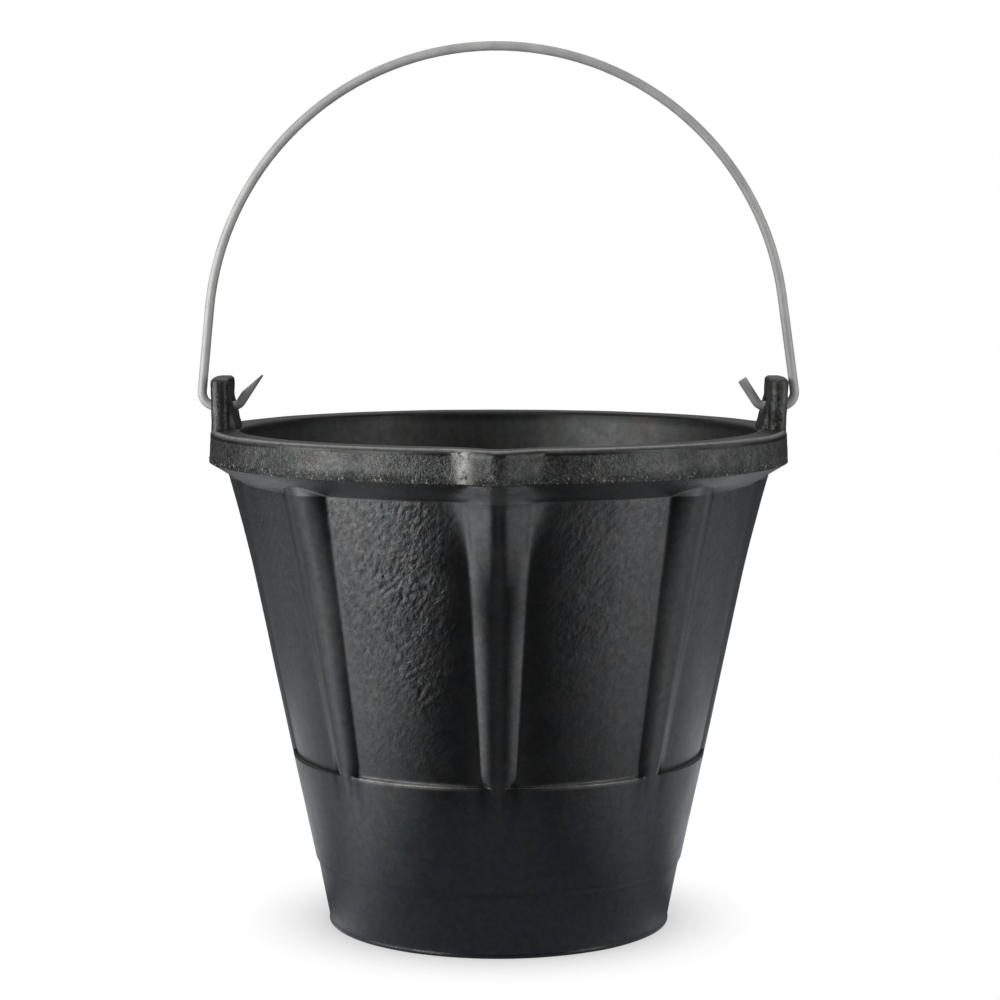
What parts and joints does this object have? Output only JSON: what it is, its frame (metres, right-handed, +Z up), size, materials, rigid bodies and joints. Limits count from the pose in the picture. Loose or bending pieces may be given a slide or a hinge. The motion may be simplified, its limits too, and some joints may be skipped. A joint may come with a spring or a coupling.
{
  "type": "rubber bucket",
  "caption": "Tapered black rubber bucket with outside ribs, a pouring spout and moulded ears, carried by a free-swinging galvanised wire bail.",
  "frame": {"origin": "on the floor, at the middle of the ring that the bucket stands on", "axes": "+Z up along the bucket's axis, -Y towards the spout, X along the bail's pivots"},
  "size_m": [0.3548, 0.3547, 0.5187],
  "materials": {
    "black_rubber": "moulded black rubber, satin, scuffed",
    "galvanised_wire": "dull galvanised"
  },
  "bodies": {
    "bucket": {"bucket": "black_rubber"},
    "bail": {"bail": "galvanised_wire"}
  },
  "joints": [
    {"name": "bail_swing", "type": "hinge", "parent": "bucket", "child": "bail", "pos_m": [0, 0, 0.306], "axis": [1, 0, 0], "range_deg": [-125, 125]}
  ]
}
